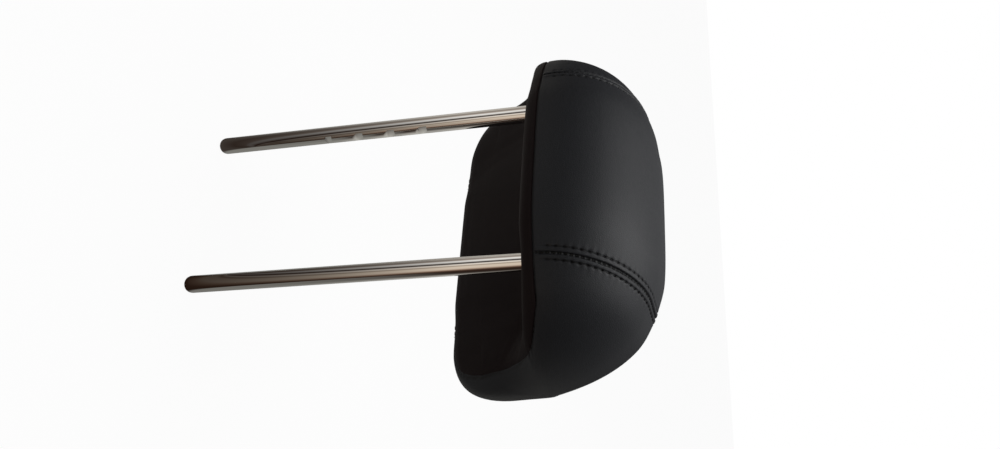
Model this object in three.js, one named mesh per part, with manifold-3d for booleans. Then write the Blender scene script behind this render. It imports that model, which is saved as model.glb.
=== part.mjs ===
// Rear-seat headrest with a lip that hangs in front of the seat back: a bent steel rod that makes both
// posts, a moulded foam core and four sewn cover panels.
// Millimetres. Z points up and -Y is the side that faces the head. The origin is midway between the
// posts, level with the underside of the cushion.
import * as THREE from "three";
import { mergeVertices } from "three/addons/utils/BufferGeometryUtils.js";
import Module from "manifold-3d";

// Bent rod
const rodDiameter = 12;
const postSpacing = 117; // between the axes of the posts
const postReach = 243; // from the underside down to the tips
const crossbarHeight = 44; // axis of the hidden crossbar above the underside
const bendRadius = 26; // on the rod's axis
const tipLength = 5.5; // length of the rounded tip
const tipFlat = 4.4; // diameter of the flat at its end

// Height notches, in the inner side of one post
const notchCount = 4;
const notchPitch = 24.3;
const notchFirst = 156; // from the underside down to the floor's lower end in the lowest notch
const notchFloor = 4.8; // flat length of a notch
const notchDepth = 1.6;
const notchRamp = 4.4; // slope below every notch except the lowest

// Cushion, as the profile at mid width
const cushionWidth = 240;
const rearDepth = 38; // from the posts back to the rear face
const topHeight = 81; // from the underside up to the top
const frontDepthTop = 76.5; // from the posts forward to the front face at the top
const frontDepthLip = 98; // and at the bottom of the lip
const lipDrop = 75.5; // from the underside down to the bottom of the lip
const lipThickness = 17.5;
const neckDepth = 22; // from the posts forward to where the underside turns down into the lip
const neckFill = 39; // how far that corner comes down towards the ends
const neckFillStart = 0.7; // share of the half width at which it starts to

// How far each rounded corner of the profile reaches along its two sides
const rearBottomRound = 13;
const rearTopRoundDown = 62.5;
const rearTopRoundForward = 76.5;
const frontTopRoundBack = 14;
const frontTopRoundDown = 56.5;
const lipFrontRound = 12.5;
const lipRearRound = 10;
const neckRound = 18;

// Each end is a point this far in front of the posts and above the underside, and the profile shrinks
// towards it. A side of the profile keeps its size for longer where its fullness is high, and closes with
// a blunter end where its bluntness is high. Both are 2 on a round end.
const endDepth = 73.5;
const endHeight = 1;
const endBlend = 80; // width of the change from one side's values to the next side's
const rearFullness = 3.3;
const rearBluntness = 2.2;
const frontFullness = 3.9;
const frontBluntness = 4.8;
const topFullness = 4.1;
const topBluntness = 1.6;
const bottomFullness = 5.5;
const bottomBluntness = 4.2;

// Cover
const coverThickness = 1.1;
const clearance = 0.3; // between neighbouring pieces
const seamHalfBottom = 68; // from mid width to a top-stitched seam, level with the underside
const seamHalfTop = 73; // and at the top
const panelRise = 10.5; // how far the underside panel turns up the rear face
const panelStart = 13; // from the posts back to where its edge starts to fall along the side
const panelKneeDepth = 39; // from the posts forward to the knee where it turns down beside the lip
const panelKneeDrop = 5; // from the underside down to the knee
const panelKneeRound = 28; // how far the knee's rounding reaches each way
const panelLip = 84; // from the posts forward to its edge under the lip
const neckHalfWidth = 100; // the panel takes in all of the neck as far as this from mid width
const neckReach = 60; // from the posts forward
const neckRoof = 3; // and from the underside up

const roundness = 0.5523; // of a Bezier curve that follows a quarter circle
const roundSteps = 5;
const sectionSteps = 26;
const rodSides = 20;
const barSteps = 30;

const wasm = await Module();
wasm.setup();

function toSolid(geometry) {
  const bare = geometry.index ? geometry.toNonIndexed() : geometry.clone();
  bare.deleteAttribute("normal");
  bare.deleteAttribute("uv");
  const merged = mergeVertices(bare, 1e-4);
  return new wasm.Manifold(
    new wasm.Mesh({
      numProp: 3,
      vertProperties: new Float32Array(merged.attributes.position.array),
      triVerts: new Uint32Array(merged.index.array),
    }),
  );
}

// A cut leaves a few vertices almost on each other, so every edge shorter than this is closed up.
const shortestEdge = 0.02;

function closeShortEdges(position, triangles) {
  const points = Array.from({ length: position.length / 3 }, (_, i) =>
    new THREE.Vector3().fromArray(position, 3 * i));
  const target = points.map((_, i) => i);
  const find = (i) => (target[i] === i ? i : (target[i] = find(target[i])));
  for (let i = 0; i < triangles.length; i++) {
    const a = find(triangles[i]);
    const b = find(triangles[i % 3 === 2 ? i - 2 : i + 1]);
    if (a !== b && points[a].distanceTo(points[b]) < shortestEdge) target[b] = a;
  }
  const kept = [];
  for (let i = 0; i < triangles.length; i += 3) {
    const [a, b, c] = [find(triangles[i]), find(triangles[i + 1]), find(triangles[i + 2])];
    if (a !== b && b !== c && c !== a) kept.push(a, b, c);
  }
  return kept;
}

function toMesh(name, solid, colour, roughness, metalness) {
  const { vertProperties, triVerts, numProp } = solid.getMesh();
  const position = new Float32Array((vertProperties.length / numProp) * 3);
  for (let i = 0; i < position.length / 3; i++)
    for (let k = 0; k < 3; k++) position[3 * i + k] = vertProperties[numProp * i + k];
  const indexed = new THREE.BufferGeometry();
  indexed.setAttribute("position", new THREE.BufferAttribute(position, 3));
  indexed.setIndex(closeShortEdges(position, triVerts));
  const geometry = indexed.toNonIndexed();
  geometry.computeVertexNormals();
  const mesh = new THREE.Mesh(
    geometry,
    new THREE.MeshStandardMaterial({ color: colour, roughness, metalness }),
  );
  mesh.name = name;
  return mesh;
}

// The corners of the profile in order round it, as [y, z, reach before, reach after].
const cornersAt = (fill) => [
  [rearDepth, 0, rearBottomRound, rearBottomRound],
  [rearDepth, topHeight, rearTopRoundDown, rearTopRoundForward],
  [-frontDepthTop, topHeight, frontTopRoundBack, frontTopRoundDown],
  [-frontDepthLip, -lipDrop, lipFrontRound, lipFrontRound],
  [lipThickness - frontDepthLip, -lipDrop, lipRearRound, lipRearRound],
  [-neckDepth, -fill, neckRound, neckRound],
];

// The profile with its neck filled by so much. Two roundings that would meet on a side share it.
function profilePoints(fill) {
  const corners = cornersAt(fill);
  const points = corners.map(([y, z]) => new THREE.Vector2(y, z));
  const sides = points.map((point, i) => points.at(i - 1).distanceTo(point));
  const fit = sides.map((length, i) =>
    Math.min(1, (0.97 * length) / (corners.at(i - 1)[3] + corners[i][2])));
  return corners.flatMap(([, , before, after], i) => {
    const next = (i + 1) % points.length;
    const corner = points[i];
    const enter = points.at(i - 1).clone().sub(corner).setLength(before * fit[i]).add(corner);
    const leave = points[next].clone().sub(corner).setLength(after * fit[next]).add(corner);
    return new THREE.CubicBezierCurve(
      enter,
      enter.clone().lerp(corner, roundness),
      leave.clone().lerp(corner, roundness),
      leave,
    ).getPoints(roundSteps);
  });
}

const shrink = (u, fullness, bluntness) => Math.pow(1 - Math.pow(u, fullness), 1 / bluntness);

// A loft of the profile along X, closed to a point at each end, then moved inwards by an inset.
function cushionSolid(inset) {
  const count = cornersAt(0).length * (roundSteps + 1);
  const half = cushionWidth / 2;
  const position = [half, -endDepth, endHeight];
  for (let i = 1; i < sectionSteps; i++) {
    const turn = Math.PI * (0.5 - i / sectionSteps);
    const u = Math.abs(Math.sin(turn));
    const rear = shrink(u, rearFullness, rearBluntness);
    const face = shrink(u, frontFullness, frontBluntness);
    const top = shrink(u, topFullness, topBluntness);
    const bottom = shrink(u, bottomFullness, bottomBluntness);
    const fill = neckFill * THREE.MathUtils.smoothstep(u, neckFillStart, 1);
    for (const { x: y, y: z } of profilePoints(fill)) {
      const front = THREE.MathUtils.smoothstep(-y - endDepth, -endBlend / 2, endBlend / 2);
      const upper = THREE.MathUtils.smoothstep(z - endHeight, -endBlend / 2, endBlend / 2);
      const deep = THREE.MathUtils.lerp(rear, face, front);
      const high = THREE.MathUtils.lerp(bottom, top, upper);
      position.push(half * Math.sin(turn), (y + endDepth) * deep - endDepth,
        (z - endHeight) * high + endHeight);
    }
  }
  position.push(-half, -endDepth, endHeight);
  const last = position.length / 3 - 1;
  const index = [];
  for (let j = 0; j < count; j++) {
    const next = (j + 1) % count;
    index.push(0, 1 + j, 1 + next);
    index.push(last, last - count + next, last - count + j);
    for (let i = 0; i < sectionSteps - 2; i++) {
      const a = 1 + i * count + j;
      const b = 1 + i * count + next;
      index.push(a, a + count, b, b, a + count, b + count);
    }
  }
  const loft = new THREE.BufferGeometry();
  loft.setAttribute("position", new THREE.Float32BufferAttribute(position, 3));
  loft.setIndex(index);
  loft.computeVertexNormals();
  const at = loft.attributes.position;
  const normal = loft.attributes.normal;
  for (let i = 0; i < at.count; i++)
    at.setXYZ(
      i,
      at.getX(i) - inset * normal.getX(i),
      at.getY(i) - inset * normal.getY(i),
      at.getZ(i) - inset * normal.getZ(i),
    );
  return toSolid(loft);
}

// A straight prism of an outline in YZ that runs the whole width.
function sidewaysPrism(shape, from, to) {
  const prism = new THREE.ExtrudeGeometry(shape, { depth: to - from, bevelEnabled: false, curveSegments: 8 });
  prism.applyMatrix4(new THREE.Matrix4().makeBasis(
    new THREE.Vector3(0, 1, 0), new THREE.Vector3(0, 0, 1), new THREE.Vector3(1, 0, 0)));
  return toSolid(prism.translate(from, 0, 0));
}

// A straight prism of an outline in XZ, centred on y = 0.
function depthPrism(points, depth) {
  const shape = new THREE.Shape(points.map(([x, z]) => new THREE.Vector2(x, z)));
  const prism = new THREE.ExtrudeGeometry(shape, { depth, bevelEnabled: false });
  prism.rotateX(Math.PI / 2);
  return toSolid(prism.translate(0, depth / 2, 0));
}

// The rod with its radius enlarged by a margin: two turned legs and the bar that is bent between them.
function rodSolid(margin) {
  const radius = rodDiameter / 2 + margin;
  const legTop = crossbarHeight - bendRadius;
  const bottom = -postReach - margin;
  const tip = new THREE.CubicBezierCurve(
    new THREE.Vector2(tipFlat / 2 + margin, bottom),
    new THREE.Vector2(radius - (radius - tipFlat / 2 - margin) * 0.35, bottom + tipLength * 0.1),
    new THREE.Vector2(radius, bottom + tipLength * 0.5),
    new THREE.Vector2(radius, bottom + tipLength),
  ).getPoints(6);
  const legProfile = [new THREE.Vector2(0, bottom), ...tip,
    new THREE.Vector2(radius, legTop), new THREE.Vector2(0, legTop)];
  const leg = new THREE.LatheGeometry(legProfile, rodSides).rotateX(Math.PI / 2);

  const side = postSpacing / 2;
  const path = new THREE.CurvePath();
  const at = (x, z) => new THREE.Vector3(x, 0, z);
  const k = bendRadius * (1 - roundness);
  path.add(new THREE.LineCurve3(at(-side, legTop - 2), at(-side, legTop)));
  path.add(new THREE.CubicBezierCurve3(at(-side, legTop), at(-side, crossbarHeight - k),
    at(k - side, crossbarHeight), at(bendRadius - side, crossbarHeight)));
  path.add(new THREE.LineCurve3(at(bendRadius - side, crossbarHeight), at(side - bendRadius, crossbarHeight)));
  path.add(new THREE.CubicBezierCurve3(at(side - bendRadius, crossbarHeight), at(side - k, crossbarHeight),
    at(side, crossbarHeight - k), at(side, legTop)));
  path.add(new THREE.LineCurve3(at(side, legTop), at(side, legTop - 2)));
  const section = new THREE.Shape();
  for (let i = 0; i < rodSides; i++) {
    const a = (i / rodSides) * 2 * Math.PI;
    section[i ? "lineTo" : "moveTo"](radius * Math.cos(a), radius * Math.sin(a));
  }
  const bar = new THREE.ExtrudeGeometry(section, { steps: barSteps, extrudePath: path, bevelEnabled: false });

  return toSolid(bar)
    .add(toSolid(leg.clone().translate(-side, 0, 0)))
    .add(toSolid(leg.clone().translate(side, 0, 0)));
}

// The lock's notches face the other post. Each has a square upper wall that holds the headrest up, and
// all but the lowest slope out below so that it can be raised.
function notchCutters() {
  const surface = postSpacing / 2 - rodDiameter / 2;
  const outside = surface - 2;
  const slope = notchRamp / notchDepth;
  let cutters = null;
  for (let i = 0; i < notchCount; i++) {
    const low = i * notchPitch - notchFirst;
    const high = low + notchFloor;
    const ramp = i ? slope * (notchDepth + 2) : 0;
    const cutter = depthPrism([[surface + notchDepth, high], [outside, high], [outside, low - ramp],
      [surface + notchDepth, low]], 2 * rodDiameter);
    cutters = cutters ? cutters.add(cutter) : cutter;
  }
  return cutters;
}

// Everything below the edge of the underside panel, moved outwards by a shift. The sewn edge runs level
// round the rear face, falls along each side to a rounded knee and then follows the lip down. Between the
// ends the hollow neck lies above the knee, so it is added.
function belowPanelEdge(shift) {
  const start = new THREE.Vector2(panelStart, panelRise + shift);
  const knee = new THREE.Vector2(-panelKneeDepth - shift, shift - panelKneeDrop);
  const lip = new THREE.Vector2(-panelLip - shift, -lipDrop);
  const enter = start.clone().sub(knee).setLength(panelKneeRound).add(knee);
  const leave = lip.clone().sub(knee).setLength(panelKneeRound).add(knee);
  const before = enter.clone().lerp(knee, roundness);
  const after = leave.clone().lerp(knee, roundness);
  const shape = new THREE.Shape();
  shape.moveTo(rearDepth + 30, -lipDrop - 30);
  shape.lineTo(rearDepth + 30, start.y);
  shape.lineTo(start.x, start.y);
  shape.lineTo(enter.x, enter.y);
  shape.bezierCurveTo(before.x, before.y, after.x, after.y, leave.x, leave.y);
  shape.lineTo(lip.x, lip.y);
  shape.lineTo(lip.x, -lipDrop - 30);
  const neck = new THREE.Shape([[0, -lipDrop], [0, neckRoof], [-neckReach, neckRoof], [-neckReach, -lipDrop]]
    .map(([y, z]) => new THREE.Vector2(y, z)));
  return sidewaysPrism(shape, -cushionWidth, cushionWidth)
    .add(sidewaysPrism(neck, -neckHalfWidth, neckHalfWidth));
}

// Between the two top-stitched seams, each seam moved outwards by a shift.
function betweenSeams(shift) {
  const slope = (seamHalfTop - seamHalfBottom) / topHeight;
  const reach = 40;
  const low = seamHalfBottom - slope * (lipDrop + reach) + shift;
  const high = seamHalfTop + slope * reach + shift;
  return depthPrism([[-low, -lipDrop - reach], [low, -lipDrop - reach], [high, topHeight + reach],
    [-high, topHeight + reach]], 4 * (rearDepth + frontDepthLip));
}

function halfSpace(side) {
  const far = side * cushionWidth;
  const points = [[0, -lipDrop - 40], [far, -lipDrop - 40], [far, topHeight + 40], [0, topHeight + 40]];
  return depthPrism(side > 0 ? points : points.reverse(), 4 * (rearDepth + frontDepthLip));
}

const outerSkin = cushionSolid(0);
const skin = outerSkin.subtract(cushionSolid(coverThickness));
const rodRoom = rodSolid(clearance);
const upperCover = skin.subtract(belowPanelEdge(clearance));
const sides = upperCover.subtract(betweenSeams(clearance / 2));

const rod = rodSolid(0).subtract(notchCutters());
const foam = cushionSolid(coverThickness + clearance).subtract(rodRoom);
const undersidePanel = skin.intersect(belowPanelEdge(0)).subtract(rodRoom);
const centrePanel = upperCover.intersect(betweenSeams(-clearance / 2));
const leftPanel = sides.intersect(halfSpace(1));
const rightPanel = sides.intersect(halfSpace(-1));

const headrest = new THREE.Group();
headrest.name = "headrest";
headrest.add(toMesh("post_rod", rod, "#b9b4ae", 0.12, 1));
headrest.add(toMesh("foam_core", foam, "#d8cfa8", 0.9, 0));
const cover = new THREE.Group();
cover.name = "cover";
cover.add(toMesh("centre_panel", centrePanel, "#2f3032", 0.5, 0));
cover.add(toMesh("side_panel_left", leftPanel, "#2b2c2e", 0.5, 0));
cover.add(toMesh("side_panel_right", rightPanel, "#2b2c2e", 0.5, 0));
cover.add(toMesh("underside_panel", undersidePanel, "#1a1617", 0.65, 0));
headrest.add(cover);

export default headrest;
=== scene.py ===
"""Looks of a rear-seat headrest: sewn leather over moulded foam, on a bent and chromed steel rod.

Metres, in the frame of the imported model: Z up, -Y towards the head, the posts hanging from the origin.
"""

import math

import bmesh
import bpy
import numpy as np
from mathutils import Matrix, Vector


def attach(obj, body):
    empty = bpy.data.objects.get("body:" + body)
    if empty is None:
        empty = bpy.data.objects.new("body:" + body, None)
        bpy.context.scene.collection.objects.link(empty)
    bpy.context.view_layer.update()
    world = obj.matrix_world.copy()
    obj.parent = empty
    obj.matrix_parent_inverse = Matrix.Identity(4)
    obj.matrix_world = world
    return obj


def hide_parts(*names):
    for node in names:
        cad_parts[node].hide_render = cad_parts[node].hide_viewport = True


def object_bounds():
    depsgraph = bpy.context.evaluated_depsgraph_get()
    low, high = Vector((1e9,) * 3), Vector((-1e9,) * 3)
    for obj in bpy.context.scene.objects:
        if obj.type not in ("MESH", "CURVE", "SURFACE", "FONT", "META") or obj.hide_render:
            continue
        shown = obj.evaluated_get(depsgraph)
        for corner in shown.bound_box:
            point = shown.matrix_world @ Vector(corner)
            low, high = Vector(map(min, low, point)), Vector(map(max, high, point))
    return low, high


bl_info = {
    "name": "Car Headrest",
    "version": (1, 0, 0),
    "blender": (4, 5, 0),
    "location": "3D View > Sidebar > Headrest",
    "description": "A sewn leather headrest on a bent chromed rod, with its studio stage",
    "category": "Add Mesh",
}

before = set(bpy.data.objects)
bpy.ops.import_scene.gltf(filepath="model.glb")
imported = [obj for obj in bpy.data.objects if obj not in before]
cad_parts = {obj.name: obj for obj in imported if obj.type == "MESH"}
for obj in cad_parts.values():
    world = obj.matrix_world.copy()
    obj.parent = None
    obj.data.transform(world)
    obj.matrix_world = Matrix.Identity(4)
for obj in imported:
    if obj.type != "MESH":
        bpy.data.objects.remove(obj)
CAD_BOX = [[float(v) for v in corner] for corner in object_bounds()]
ROUNDNESS = 0.5523  # reach of a Bezier curve's handles where it follows a quarter circle


def linear(code):
    """Linear colour with alpha of an sRGB hex value."""
    parts = [int(code[i : i + 2], 16) / 255 for i in (1, 3, 5)]
    return tuple(c / 12.92 if c <= 0.04045 else ((c + 0.055) / 1.055) ** 2.4 for c in parts) + (1.0,)


def length(name, description, default):
    """A property for a length in metres."""
    return bpy.props.FloatProperty(
        name=name, description=description, default=default, unit="LENGTH", precision=4
    )


def number(name, description, default):
    """A property for a plain number."""
    return bpy.props.FloatProperty(name=name, description=description, default=default)


def colour(name, description, code):
    """A property for a colour, from its sRGB hex value."""
    return bpy.props.FloatVectorProperty(
        name=name, description=description, default=linear(code), size=4, subtype="COLOR", min=0, max=1
    )


class HeadrestCushion(bpy.types.PropertyGroup):
    """Sizes of the padded body, as its profile at mid width."""

    width: length("Width", "Across both ends", 0.240)
    rear_depth: length("Rear depth", "From the posts back to the rear face", 0.038)
    top_height: length("Top height", "From the underside up to the top", 0.081)
    front_depth_top: length("Front depth, top", "From the posts to the front face at the top", 0.0765)
    front_depth_lip: length("Front depth, lip", "From the posts to the front face at the lip", 0.098)
    lip_drop: length("Lip drop", "From the underside down to the bottom of the lip", 0.0755)
    lip_thickness: length("Lip thickness", "Front to back at the bottom of the lip", 0.0175)
    neck_depth: length("Neck depth", "From the posts forward to where the lip starts", 0.022)
    neck_fill: length("Neck fill", "How far that corner comes down towards the ends", 0.029)
    fill_start: number("Fill start", "Share of the half width at which it starts to", 0.7)
    end_depth: length("End depth", "From the posts forward to the point of each end", 0.0735)
    end_height: length("End height", "From the underside up to the point of each end", 0.001)
    end_blend: length("End blend", "Width of the change from one side's values to the next", 0.080)
    rear_fullness: number("Rear fullness", "How long the rear keeps its depth towards the ends", 3.3)
    rear_bluntness: number("Rear bluntness", "How bluntly the rear closes at the ends", 2.2)
    front_fullness: number("Front fullness", "The same for the front", 3.9)
    front_bluntness: number("Front bluntness", "The same for the front", 4.8)
    top_fullness: number("Top fullness", "The same for the height of the top", 4.1)
    top_bluntness: number("Top bluntness", "The same for the height of the top", 1.6)
    bottom_fullness: number("Bottom fullness", "The same for the drop of the lip", 5.5)
    bottom_bluntness: number("Bottom bluntness", "The same for the drop of the lip", 4.2)


class HeadrestCover(bpy.types.PropertyGroup):
    """Sizes of the sewn cover."""

    leather: length("Leather", "Thickness of a cover panel", 0.0011)
    seam_bottom: length("Seam, bottom", "From mid width to a seam, level with the underside", 0.068)
    seam_top: length("Seam, top", "From mid width to a seam, level with the top", 0.073)
    panel_rise: length("Panel rise", "How far the underside panel turns up the rear face", 0.0105)
    panel_start: length("Panel start", "From the posts back to where its edge starts to fall", 0.013)
    knee_depth: length("Knee depth", "From the posts forward to the knee of its edge", 0.039)
    knee_drop: length("Knee drop", "From the underside down to the knee", 0.005)
    knee_round: length("Knee round", "How far the knee's rounding reaches each way", 0.028)
    panel_lip: length("Panel lip", "From the posts forward to its edge under the lip", 0.084)
    neck_half: length("Neck, half width", "The panel takes in all of the neck this far from mid width", 0.100)
    neck_reach: length("Neck reach", "From the posts forward", 0.060)
    neck_roof: length("Neck roof", "From the underside up", 0.003)
    row: length("Stitch row", "From a seam to the stitch row on each side of it", 0.0039)
    pitch: length("Stitch pitch", "From one top stitch to the next", 0.0052)
    joining_pitch: length("Joining pitch", "From one stitch of the joining seam to the next", 0.0037)
    thread: length("Thread", "Diameter of the sewing thread", 0.0007)
    fold: length("Fold", "Rise of the folded edge between a seam and its stitch row", 0.00035)
    gap: length("Gap", "Half the width of the gap between two folded edges", 0.0008)
    groove: length("Groove", "Depth of that gap", 0.0011)
    crown: length("Crown", "How far the leather bulges between its seams", 0.0012)
    swell: length("Swell", "The most that the padding pushes the leather out beyond its crown", 0.0008)
    foam_inset: length("Foam inset", "From the cushion's skin in to the pressed foam", 0.0042)
    foam_room: length("Foam room", "Clearance between the foam and the rod", 0.0003)


class HeadrestPosts(bpy.types.PropertyGroup):
    """Sizes of the bent rod."""

    diameter: length("Diameter", "Of the rod", 0.012)
    spacing: length("Spacing", "Between the axes of the posts", 0.117)
    reach: length("Reach", "From the underside down to the tips", 0.243)
    crossbar: length("Crossbar", "Height of the hidden crossbar above the underside", 0.044)
    bend: length("Bend", "Radius of a bend on the rod's axis", 0.026)
    tip: length("Tip", "Length of a rounded tip", 0.0055)
    flat: length("Flat", "Diameter of the flat at a tip's end", 0.0044)
    notches: bpy.props.IntProperty(name="Notches", description="Number of lock notches", default=4, min=0)
    notch_pitch: length("Notch pitch", "From one notch to the next", 0.0243)
    notch_first: length("First notch", "From the underside to the lower end of the lowest floor", 0.156)
    notch_floor: length("Notch floor", "Flat length of a notch", 0.0048)
    notch_depth: length("Notch depth", "Depth of a notch", 0.0016)
    notch_ramp: length("Notch ramp", "Length of the slope below a notch", 0.0044)


class HeadrestColours(bpy.types.PropertyGroup):
    """Colours of the finishes."""

    leather: colour("Leather", "Cover of the centre and the ends", "#26272A")
    underside: colour("Underside", "Cover of the underside and the inner side of the lip", "#1F1616")
    thread: colour("Thread", "Sewing thread", "#0C0C0D")
    chrome: colour("Chrome", "Plated rod", "#E2DFDA")
    foam: colour("Foam", "Moulded core", "#D8CFA8")
    floor: colour("Floor", "Studio floor", "#DEDEDE")


# Shape of the cushion


def smooth_step(value, low, high):
    t = np.clip((value - low) / (high - low), 0, 1)
    return t * t * (3 - 2 * t)


# How far each rounded corner of the outline reaches along its two sides: the underside's rear corner, the
# two at the top, the two at the bottom of the lip, and the neck
ROUNDINGS = np.array((
    (0.013, 0.013),
    (0.0625, 0.0765),
    (0.014, 0.0565),
    (0.0125, 0.0125),
    (0.010, 0.010),
    (0.018, 0.018),
))
SIDE_SHARE = 0.97  # the most of a side that the roundings at its two ends take up
CORNER_POINTS = 80
FILL_STEPS = 9  # outlines from the open neck to the filled one


def rounded(enter, corner, leave, count):
    """Points of a curve that rounds a corner, from where it enters to where it leaves."""
    a = enter + (corner - enter) * ROUNDNESS
    b = leave + (corner - leave) * ROUNDNESS
    t = np.linspace(0, 1, count)[:, None]
    return (1 - t) ** 3 * enter + 3 * (1 - t) ** 2 * t * a + 3 * (1 - t) * t * t * b + t**3 * leave


def profile(shape, fill):
    """The closed outline (y, z) with its neck filled by so much, from the underside round the rear."""
    corners = np.array([
        (shape.rear_depth, 0),
        (shape.rear_depth, shape.top_height),
        (-shape.front_depth_top, shape.top_height),
        (-shape.front_depth_lip, -shape.lip_drop),
        (shape.lip_thickness - shape.front_depth_lip, -shape.lip_drop),
        (-shape.neck_depth, -fill),
    ])
    # two roundings that would meet on a side share it
    sides = np.linalg.norm(corners - np.roll(corners, 1, axis=0), axis=1)
    share = np.minimum(1, SIDE_SHARE * sides / (np.roll(ROUNDINGS[:, 1], 1) + ROUNDINGS[:, 0]))
    line = []
    for i, corner in enumerate(corners):
        following = (i + 1) % len(corners)
        back = corners[i - 1] - corner
        ahead = corners[following] - corner
        enter = corner + back / np.linalg.norm(back) * ROUNDINGS[i, 0] * share[i]
        leave = corner + ahead / np.linalg.norm(ahead) * ROUNDINGS[i, 1] * share[following]
        line.append(rounded(enter, corner, leave, CORNER_POINTS))
    return np.vstack(line + [line[0][:1]])


def measured(line):
    """Length along a line from its first point to each of its points."""
    return np.r_[0, np.cumsum(np.linalg.norm(np.diff(line, axis=0), axis=1))]


def nearest(across, place):
    """Which of the stations lies nearest to a place."""
    return int(np.argmin(np.abs(across - place)))


def outlines(shape, spacing):
    """Outlines for a neck that is filled step by step, each as one count of evenly spaced points."""
    lines = [profile(shape, fill) for fill in np.linspace(0, shape.neck_fill, FILL_STEPS)]
    count = round(measured(lines[0])[-1] / spacing)
    even = []
    for line in lines:
        along = measured(line)
        at = np.arange(count) * along[-1] / count
        even.append(np.stack([np.interp(at, along, line[:, 0]), np.interp(at, along, line[:, 1])], 1))
    return np.stack(even)


def seam_half(cover, shape, z):
    """Distance of the two seams from mid width at a height."""
    return cover.seam_bottom + (cover.seam_top - cover.seam_bottom) * z / shape.top_height


def closing(u, fullness, bluntness):
    """Size that is left of a side of the outline, at a share of the half width."""
    return (1 - u**fullness) ** (1 / bluntness)


def skin(shape, cover, lines, across):
    """Points of the cushion's surface, for outline points by stations across the width.

    A station is a distance from mid width, stretched so that one station always lies on the seam.
    """
    half = shape.width / 2
    rest = cover.seam_bottom
    t = np.abs(across)[None, :]
    row = np.arange(lines.shape[1])[:, None]
    fill = np.zeros((lines.shape[1], len(across)))
    # the fill depends on how far out a point lies, and that on its height at the seam: three rounds settle it
    for _ in range(3):
        step = fill * (len(lines) - 1)
        low = np.minimum(step.astype(int), len(lines) - 2)
        part = (step - low)[:, :, None]
        point = lines[low, row] * (1 - part) + lines[low + 1, row] * part
        y, z = point[:, :, 0], point[:, :, 1]
        seam = seam_half(cover, shape, z)
        x = np.where(t <= rest, t * seam / rest, seam + (t - rest) * (half - seam) / (half - rest))
        u = np.clip(x / half, 0, 1)
        fill = smooth_step(u, shape.fill_start, 1)
    band = shape.end_blend / 2
    front = smooth_step(-y - shape.end_depth, -band, band)
    upper = smooth_step(z - shape.end_height, -band, band)
    deep = (closing(u, shape.rear_fullness, shape.rear_bluntness) * (1 - front)
            + closing(u, shape.front_fullness, shape.front_bluntness) * front)
    high = (closing(u, shape.bottom_fullness, shape.bottom_bluntness) * (1 - upper)
            + closing(u, shape.top_fullness, shape.top_bluntness) * upper)
    return np.stack([
        x * np.sign(across)[None, :],
        (y + shape.end_depth) * deep - shape.end_depth,
        (z - shape.end_height) * high + shape.end_height,
    ], 2)


END_CAP = 0.0003  # depth of the very ends, where the rings of points run together


def outward(points):
    """Unit normals of a grid of surface points that wraps round its first axis."""
    round_it = np.roll(points, -1, 0) - np.roll(points, 1, 0)
    across = np.empty_like(points)
    across[:, 1:-1] = points[:, 2:] - points[:, :-2]
    across[:, 0] = points[:, 1] - points[:, 0]
    across[:, -1] = points[:, -1] - points[:, -2]
    normal = np.cross(round_it, across)
    size = np.linalg.norm(normal, axis=2, keepdims=True)
    normal = normal / np.maximum(size, 1e-12)
    # at the very ends the surface faces straight out
    x = points[:, :, :1]
    return np.where(np.abs(x) > np.abs(x).max() - END_CAP, np.sign(x) * (1, 0, 0), normal)


KNEE_POINTS = 24
BEYOND = 0.03  # how far the panel's edge is drawn on past the cushion
FAR_OFF = 1.0  # stands for any distance that is out of a seam's reach


def panel_edge(shape, cover):
    """The sewn edge of the underside panel, seen from the side, as points (y, z)."""
    start = np.array((cover.panel_start, cover.panel_rise))
    knee = np.array((-cover.knee_depth, -cover.knee_drop))
    lip = np.array((-cover.panel_lip, -shape.lip_drop))
    enter = knee + (start - knee) / np.linalg.norm(start - knee) * cover.knee_round
    leave = knee + (lip - knee) / np.linalg.norm(lip - knee) * cover.knee_round
    bend = rounded(enter, knee, leave, KNEE_POINTS)
    first = (shape.rear_depth + BEYOND, cover.panel_rise)
    return np.vstack([first, start, bend, lip, lip - (0, BEYOND)])


def distance_to(line, y, z):
    """Distance in YZ from every point to a polyline."""
    best = np.full(y.shape, FAR_OFF)
    for (y0, z0), (y1, z1) in zip(line[:-1], line[1:]):
        dy, dz = y1 - y0, z1 - z0
        t = np.clip(((y - y0) * dy + (z - z0) * dz) / (dy * dy + dz * dz), 0, 1)
        best = np.minimum(best, np.hypot(y - y0 - t * dy, z - z0 - t * dz))
    return best


# How the stations follow the closing ends: the share of the half width from which they do, and the
# fullness and bluntness of the curve
TURNED = 0.985
END_FULLNESS = 4.5
END_BLUNTNESS = 4.0


def end_stations(start, half, wide, close):
    """Stations from a start to the end: first evenly turned, then in even steps of what is left to close."""
    turn = np.linspace(math.asin(start / half), math.asin(TURNED), wide)
    left = closing(TURNED, END_FULLNESS, END_BLUNTNESS)
    size = np.linspace(left, 0, close)[1:]
    return half * np.concatenate([np.sin(turn), (1 - size**END_BLUNTNESS) ** (1 / END_FULLNESS)])


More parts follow.
